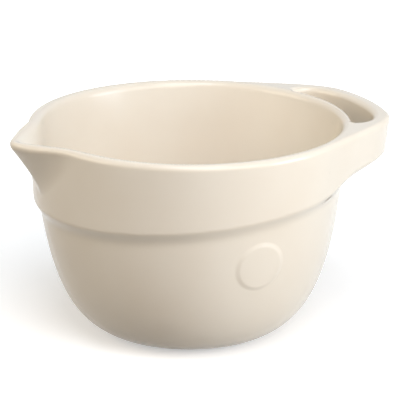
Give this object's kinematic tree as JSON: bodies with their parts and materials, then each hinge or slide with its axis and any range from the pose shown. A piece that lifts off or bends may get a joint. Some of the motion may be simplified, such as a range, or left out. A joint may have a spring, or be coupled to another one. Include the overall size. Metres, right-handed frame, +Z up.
{
  "type": "mixing bowl",
  "caption": "Cream glazed stoneware mixing bowl with a thick leaning rim band, a V-shaped pouring spout, a loop handle with a finger slot and a blank round medallion.",
  "frame": {"origin": "on the table, under the middle of the bounding box", "axes": "+X from the bowl's axis towards the handle, -X towards the spout, +Z up"},
  "size_m": [0.2784, 0.237, 0.1535],
  "materials": {
    "glaze": "glossy cream glaze",
    "bare_clay": "unglazed, matt"
  },
  "bodies": {
    "root": {"basin": "glaze", "rim_band": "glaze", "pouring_spout": "glaze", "handle": "glaze", "medallion": "glaze", "foot_ring": "bare_clay"}
  },
  "joints": []
}
